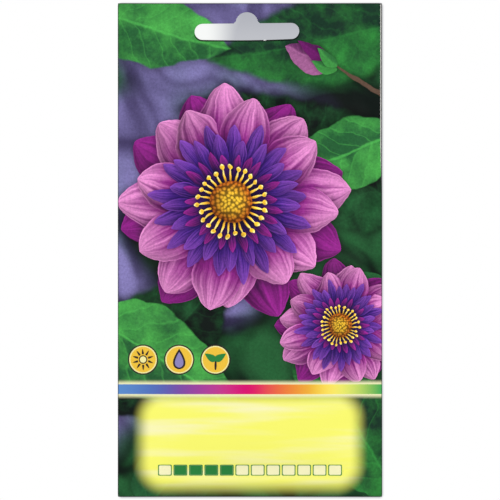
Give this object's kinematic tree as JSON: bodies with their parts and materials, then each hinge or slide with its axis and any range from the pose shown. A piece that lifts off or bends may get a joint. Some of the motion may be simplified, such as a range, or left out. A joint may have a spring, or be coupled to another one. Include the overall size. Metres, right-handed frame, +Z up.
{
  "type": "seed packet",
  "caption": "Flat paper seed packet with a humped hang slot through its glued header, sealed side and bottom seams, and a foil sachet of seeds inside.",
  "frame": {"origin": "crest of the hang slot's hump, half way through the header, where a display peg bears", "axes": "+X to the right as the printed front is seen, +Y from the front to the back, +Z up"},
  "size_m": [0.0802, 0.0037, 0.15],
  "materials": {
    "front_paper": "coated art paper, printed in colour",
    "back_paper": "coated art paper, pale print",
    "glue": "dried clear adhesive",
    "foil": "satin laminated foil",
    "seed_coat": "hard pitted seed coat"
  },
  "bodies": {
    "root": {"front_leaf": "front_paper", "back_leaf": "back_paper", "header_glue": "glue", "left_seam_glue": "glue", "right_seam_glue": "glue", "bottom_seam_glue": "glue", "sachet_front_foil": "foil", "sachet_back_foil": "foil", "seed_1": "seed_coat", "seed_2": "seed_coat", "seed_3": "seed_coat", "seed_4": "seed_coat", "seed_5": "seed_coat"}
  },
  "joints": []
}
